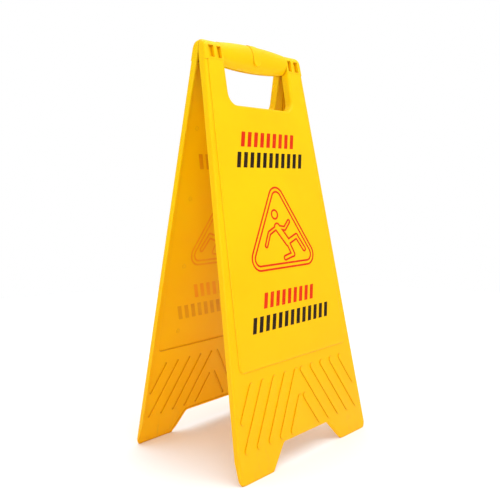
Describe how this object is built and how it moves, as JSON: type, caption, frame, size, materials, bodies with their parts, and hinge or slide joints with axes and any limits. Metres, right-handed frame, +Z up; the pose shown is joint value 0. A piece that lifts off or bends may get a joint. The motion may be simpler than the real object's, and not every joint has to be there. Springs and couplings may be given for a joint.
{
  "type": "wet floor sign",
  "caption": "Folding A-frame floor warning sign: two equal moulded trays hinged on a round carrying bar, with a hand opening, notched feet and printed faces.",
  "frame": {"origin": "on the floor, midway between the four feet, straight under the hinge axis", "axes": "+Z up, +X across the sign along the hinge axis, the front panel leans towards -Y"},
  "size_m": [0.2986, 0.2258, 0.6092],
  "materials": {
    "yellow_plastic": "satin moulded polypropylene",
    "pin_plastic": "satin moulded plastic",
    "red_ink": "screen print",
    "black_ink": "screen print"
  },
  "bodies": {
    "front": {"front_panel": "yellow_plastic", "hinge_pin_left": "pin_plastic", "hinge_pin_right": "pin_plastic", "front_print_upper_red": "red_ink", "front_print_upper_black": "black_ink", "front_print_pictogram": "red_ink", "front_print_lower_red": "red_ink", "front_print_lower_black": "black_ink"},
    "rear": {"rear_panel": "yellow_plastic", "rear_print_upper_red": "red_ink", "rear_print_upper_black": "black_ink", "rear_print_pictogram": "red_ink", "rear_print_lower_red": "red_ink", "rear_print_lower_black": "black_ink"}
  },
  "joints": [
    {"name": "fold_hinge", "type": "hinge", "parent": "front", "child": "rear", "pos_m": [0, 0, 0.5894], "axis": [-1, 0, 0], "range_deg": [0, 19.2]}
  ]
}
